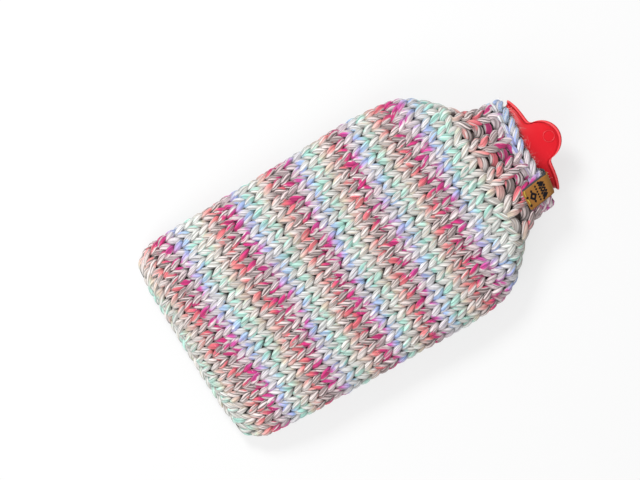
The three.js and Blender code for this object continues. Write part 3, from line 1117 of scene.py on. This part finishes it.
def dyed_yarn_group():
    """Colour and height of the plied, space-dyed yarn, with painted shade in its grooves and gaps."""
    n, given, result = new_group(
        "dyed yarn",
        [("Strand", "NodeSocketVector"), ("Cycle", "NodeSocketFloat"), ("Front", "NodeSocketFloat")],
        [("Color", "NodeSocketColor"), ("Height", "NodeSocketFloat")],
    )
    parts = n.add("ShaderNodeSeparateXYZ")
    n.join(given.outputs["Strand"], parts.inputs[0])
    cosine, sine, length = parts.outputs
    run = n.math("MULTIPLY", given.outputs["Cycle"], DYE_TRAVEL)

    def streaks(around, along, detail, roughness):
        place = n.vector(
            n.math("MULTIPLY", cosine, around),
            n.math("MULTIPLY", sine, around),
            n.math("ADD", n.math("MULTIPLY", length, along), run),
        )
        return n.noise(place, 1.0, detail, roughness)

    fibre = streaks(5.5, 60.0, 3.0, 0.7)
    hank = streaks(1.6, 45.0, 1.0, 0.5)
    uptake = n.noise(n.vector(run, 0.0, n.math("MULTIPLY", length, 60)), 1.0, 2.0, 0.5)
    drift = n.noise(n.vector(0.0, run, n.math("MULTIPLY", length, 18)), 1.0, 1.0)
    wandered = n.math("MULTIPLY", n.math("SUBTRACT", drift, 0.5), DYE_WANDER)
    cycle = n.math("FRACT", n.math("ADD", given.outputs["Cycle"], wandered))
    dye = n.ramp(cycle, DYE_RUN)
    shade = n.ramp(cycle, SHADE_RUN)
    white = n.mix(WHITE_TINT, n.mix(n.step(hank, 0.3, 0.7), *WOOL_WHITES), dye)
    ragged = n.math("MULTIPLY", n.math("SUBTRACT", fibre, 0.5), 1.5)
    turn = n.math("ARCTAN2", sine, cosine)
    wander = n.math("MULTIPLY", n.math("SUBTRACT", hank, 0.5), 6.0)

    def waves(count, start):
        return n.math("COSINE", n.math("ADD", n.math("MULTIPLY", turn, count), start))

    def strands(count, start, main, share):
        around = waves(count, n.math("ADD", wander, start))
        return n.math("ADD", n.math("MULTIPLY", main, 1.1 - share), n.math("MULTIPLY", around, share))

    edge = n.step(uptake, 0.32, 0.64, 0.98, -0.28)
    reached = n.math("SUBTRACT", strands(2.0, 1.1, cosine, 0.55), edge)
    dyed = n.step(n.math("ADD", reached, ragged), -0.10, 0.14)
    brown = n.math("MULTIPLY", n.ramp(cycle, BROWN_RUN), BROWN_SHARE)
    darker = n.math("ADD", n.math("ADD", strands(7.0, 2.0, sine, 0.7), ragged), brown)
    shaded = n.step(darker, 0.42, 0.70)
    base = n.mix(n.math("MULTIPLY", shaded, SHADED_SHARE), white, shade)
    colour = n.mix(n.math("MULTIPLY", dyed, DYED_SHARE), base, dye)
    lobes = waves(LOBES, wander)
    thread = waves(THREADS, n.math("MULTIPLY", wander, 2.3))
    # Painted shade: the colour is darkened in the grooves between the plies and between the threads.
    ply_gap_shade = n.math("MULTIPLY", n.step(lobes, -1.0, -0.25, 0.56, 1.0), n.step(thread, -1.0, 0.2, 0.78, 1.0))
    # Painted shade: yarn at the back of its round, deep between the stitches, is darkened nearly to black.
    depth = n.step(given.outputs["Front"], 0.12, 1.0, 0.03, 1.0)
    # The fibre noise is the yarn's own streaky tone; the groove and depth factors are painted shade.
    fibre_streak_and_shade = n.math("MULTIPLY", n.step(fibre, 0.30, 0.70, 0.66, 1.18), n.math("MULTIPLY", ply_gap_shade, depth))
    streak_and_shade_grey = n.vector(fibre_streak_and_shade, fibre_streak_and_shade, fibre_streak_and_shade)
    colour = n.mix(1.0, colour, streak_and_shade_grey, "MULTIPLY")
    n.join(colour, result.inputs["Color"])
    ridges = n.math("MULTIPLY", n.math("ADD", lobes, thread), 0.3)
    n.join(n.math("ADD", ridges, fibre), result.inputs["Height"])
    return n.tree


def plain_material(name, roughness, **sockets):
    """A material with its Principled shader, whose fixed values are set on their own sockets."""
    material = bpy.data.materials.new(name)
    material.use_nodes = True
    n = Nodes(material.node_tree)
    shader = material.node_tree.nodes["Principled BSDF"]
    shader.inputs["Roughness"].default_value = roughness
    for label, value in sockets.items():
        shader.inputs[label.replace("_", " ")].default_value = value
    return material, n, shader


def bump(n, shader, height, strength, distance):
    made = n.add("ShaderNodeBump")
    made.inputs["Strength"].default_value = strength
    made.inputs["Distance"].default_value = distance
    n.join(height, made.inputs["Height"])
    n.join(made.outputs[0], shader.inputs["Normal"])


def yarn_material(group):
    material, n, shader = plain_material(
        "dyed_wool_yarn", 0.92, Specular_IOR_Level=0.25, Sheen_Weight=0.24, Sheen_Roughness=0.5
    )
    yarn = n.add("ShaderNodeGroup", node_tree=group)
    n.join(n.mark("strand", "Vector"), yarn.inputs["Strand"])
    n.join(n.mark("dye"), yarn.inputs["Cycle"])
    n.join(n.mark("front"), yarn.inputs["Front"])
    n.join(yarn.outputs["Color"], shader.inputs["Base Color"])
    bump(n, shader, yarn.outputs["Height"], 0.55, 0.0006)
    return material


def fibre_material():
    material, n, shader = plain_material("loose_wool_fibre", 0.8, Sheen_Weight=0.3)
    place = n.position()
    tint = n.noise(place, 300.0, 2.0)
    n.join(n.mix(tint, *FIBRE_WHITES), shader.inputs["Base Color"])
    return material


# Painted shade: the sheet is coloured dark so the gaps between the stitches look shaded.
def shade_backing_material():
    material, n, shader = plain_material("painted_shade_inside_face", 0.95)
    place = n.position()
    tint = n.noise(place, 180.0, 3.0)
    n.join(n.mix(tint, *BACKING_SHADE_BROWNS), shader.inputs["Base Color"])
    bump(n, shader, tint, 0.5, 0.0008)
    return material


def rubber_material():
    material, n, shader = plain_material("red_moulded_rubber", 0.38, Specular_IOR_Level=0.25)
    place = n.position()
    broad = n.noise(place, 28.0, 3.0)
    grain = n.noise(place, 900.0, 2.0)
    stretched = n.add("ShaderNodeMapping")
    n.join(place, stretched.inputs["Vector"])
    stretched.inputs["Scale"].default_value = (60, 900, 60)
    stretched.inputs["Rotation"].default_value = (0, 0, 0.25)
    scratch = n.noise(stretched.outputs[0], 1.0, 3.0, 0.7)
    scored = n.step(scratch, 0.62, 0.75)
    relief = n.mark("relief")
    base = n.mix(broad, *RUBBER_REDS)
    base = n.mix(n.math("MULTIPLY", scored, 0.22), base, RUBBER_SCRATCH)
    # Painted highlight on the bead's crest and the ring's top; painted shade in the groove and on the
    # ring's sides.
    base = n.mix(n.step(relief, 0.5, 1.0, 0.0, 0.45), base, RUBBER_PAINTED_HIGHLIGHT)
    base = n.mix(n.step(relief, 0.5, 0.0, 0.0, 0.75), base, RUBBER_PAINTED_SHADE)
    n.join(base, shader.inputs["Base Color"])
    n.join(n.step(broad, 0.2, 0.8, 0.30, 0.46), shader.inputs["Roughness"])
    bump(n, shader, n.math("ADD", grain, n.math("MULTIPLY", broad, 2.0)), 0.25, 0.0003)
    return material


# The label's printed diamonds, in rows: places across, steps below the fold, half width and half
# height. The hearts are left bare, and the two holes are where the thread goes in.
DIAMONDS = (
    ((-4.9, 0.0, 4.9), 4.2, 2.7, 4.0),
    ((-7.0, -2.45, 2.45, 7.0), 6.6, 1.5, 1.9),
    ((-2.45, 2.45), 1.8, 1.5, 1.9),
    ((-6.0, -3.6, -1.2, 1.2, 3.6, 6.0), 10.6, 1.2, 1.4),
    ((0.0,), 16.2, 4.6, 4.6),
    ((-4.6, 4.6), 16.2, 1.6, 1.6),
)
HEARTS = (((0.0,), 16.2, 1.5, 1.5), ((0.0,), 4.2, 0.9, 1.2))
THREAD_HOLES = (((-2.0, 5.4), 22.4, 1.9, 1.7),)


def diamond(n, across, along, x, y, width, height):
    """A mask that is one inside a small diamond."""
    aside = n.math("DIVIDE", n.math("ABSOLUTE", n.math("SUBTRACT", across, x)), width)
    above = n.math("DIVIDE", n.math("ABSOLUTE", n.math("SUBTRACT", along, y)), height)
    return n.step(n.math("ADD", aside, above), 1.0, 0.86)


def leather_material():
    """Tan leather with a printed pattern of diamonds and two sewing holes."""
    material, n, shader = plain_material("tan_label_leather", 0.7, Specular_IOR_Level=0.2)
    across = n.math("MULTIPLY", n.mark("label_across"), LABEL_WIDTH)
    along = n.math("MULTIPLY", n.mark("label_along"), LABEL_RUN)

    def masks(rows):
        made = []
        for places, below, *size in rows:
            made += [diamond(n, across, along, x, -below, *size) for x in places]
        return made

    place = n.position()
    grain = n.noise(place, 1500.0, 4.0, 0.7)
    cloud = n.noise(place, 160.0, 3.0)
    tan = n.mix(cloud, *LEATHER_TANS)
    tan = n.mix(n.step(grain, 0.35, 0.65, 0.25, 0.0), tan, LEATHER_PORES)
    dark, *others = masks(DIAMONDS)
    for mask in others:
        dark = n.math("MAXIMUM", dark, mask)
    for mask in masks(HEARTS):
        dark = n.math("SUBTRACT", dark, mask, clamp=True)
    for mask in masks(THREAD_HOLES):
        dark = n.math("MAXIMUM", dark, mask)
    n.join(n.mix(dark, tan, PRINT_INK), shader.inputs["Base Color"])
    relief = n.math("SUBTRACT", n.math("MULTIPLY", grain, 0.5), n.math("MULTIPLY", dark, 0.6))
    bump(n, shader, relief, 0.4, 0.0004)
    return material


def felt_material():
    material, n, shader = plain_material("dark_label_backing", 0.9)
    place = n.position()
    tint = n.noise(place, 900.0, 3.0)
    n.join(n.mix(tint, *FELT_GREYS), shader.inputs["Base Color"])
    bump(n, shader, tint, 0.5, 0.0003)
    return material


def thread_material():
    material, n, shader = plain_material("yellow_thread", 0.7)
    place = n.position()
    tint = n.noise(place, 2500.0, 2.0)
    n.join(n.mix(tint, *THREAD_YELLOWS), shader.inputs["Base Color"])
    return material


def floor_material():
    material, n, shader = plain_material("pale_floor", 0.9, Specular_IOR_Level=0.1)
    place = n.position()
    tint = n.noise(place, 3.0, 2.0)
    n.join(n.mix(tint, *FLOOR_GREYS), shader.inputs["Base Color"])
    shader.inputs["Emission Color"].default_value = (1, 1, 1, 1)
    shader.inputs["Emission Strength"].default_value = FLOOR_GLOW
    return material


# --- camera, floor and light ------------------------------------------------------------------
CAMERA_TURN = math.radians(60)
VIEW_WIDTH = 0.557
CAMERA_HEIGHT = 2.4
AIM = (-0.026, -0.038)
AIM_HEIGHT = 0.035
SENSOR_WIDTH = 36
FLOOR_REACH = 4000.0
SKY_STRENGTH = 0.53
KEY_LIGHT = ((-1.25, -0.1, 1.35), 0.6, 32)  # place, width and power
FILL_LIGHT = ((0.75, -1.35, 1.3), 1.4, 25)


def area_light(name, place, size, power):
    """A round soft light that faces the middle of the floor."""
    light = bpy.data.lights.new(name, "AREA")
    light.shape = "DISK"
    light.size = size
    light.energy = power
    holder = bpy.data.objects.new(name, light)
    bpy.context.scene.collection.objects.link(holder)
    holder.location = place
    ahead = -np.array(place)
    pitch = math.acos(-ahead[2] / np.linalg.norm(ahead))
    holder.rotation_euler = (pitch, 0, math.atan2(ahead[1], ahead[0]) - math.pi / 2)


def studio():
    """Camera straight above, pale floor, a light from the left and a wider one from the bottom end."""
    scene = bpy.context.scene
    camera = bpy.data.cameras.new("camera")
    camera.sensor_width = SENSOR_WIDTH
    camera.lens = SENSOR_WIDTH * (CAMERA_HEIGHT - AIM_HEIGHT) / VIEW_WIDTH
    holder = bpy.data.objects.new("camera", camera)
    scene.collection.objects.link(holder)
    holder.location = (*AIM, CAMERA_HEIGHT)
    holder.rotation_euler = (0, 0, CAMERA_TURN)
    scene.camera = holder
    scene.view_settings.view_transform = "Standard"

    corners = [(x * FLOOR_REACH, y * FLOOR_REACH, 0) for x, y in ((-1, -1), (1, -1), (1, 1), (-1, 1))]
    mesh_piece("floor", corners, [[0, 1, 2, 3]], floor_material(), smooth=False)

    world = bpy.data.worlds.new("studio")
    scene.world = world
    world.use_nodes = True
    sky = world.node_tree.nodes["Background"]
    sky.inputs["Color"].default_value = (1, 1, 1, 1)
    sky.inputs["Strength"].default_value = SKY_STRENGTH
    area_light("key", *KEY_LIGHT)
    area_light("fill", *FILL_LIGHT)


def build():
    studio()
    yarn = yarn_material(dyed_yarn_group())
    fabric, rounds = knit_cover(yarn)
    top_edge = bound_off_edge(fabric, yarn)
    bottom_edge = cast_on_edge(yarn)
    backing = backing_sheet(shade_backing_material())
    bottle = bottle_piece(rubber_material())
    felt = folded_sheet("label_backing", felt_material(), FELT_WIDTH, -0.97, 2, FELT_OUT, FELT_ASIDE)
    label = folded_sheet("label_leather", leather_material(), 1.0, -1, 0.55, LEATHER_OUT)
    thread = thread_stitch(thread_material())
    wool = fibre_material()
    yarns = [*rounds, top_edge, bottom_edge]
    fibres = loose_fibres("loose_fibres", yarns, wool, 9000, 6.0, FIBRE_HALF_WIDTH)
    mouth_fibres = loose_fibres(
        "mouth_fibres", [top_edge], wool, 1300, 10.0, MOUTH_FIBRE_HALF_WIDTH, MOUTH_FIBRES_FROM_Y
    )

    knitted = [*yarns, fibres, mouth_fibres]
    for piece in [*knitted, backing, bottle, felt, label, thread]:
        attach(piece, "root")
    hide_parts("cover")
    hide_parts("bottle")
    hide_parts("label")


build()
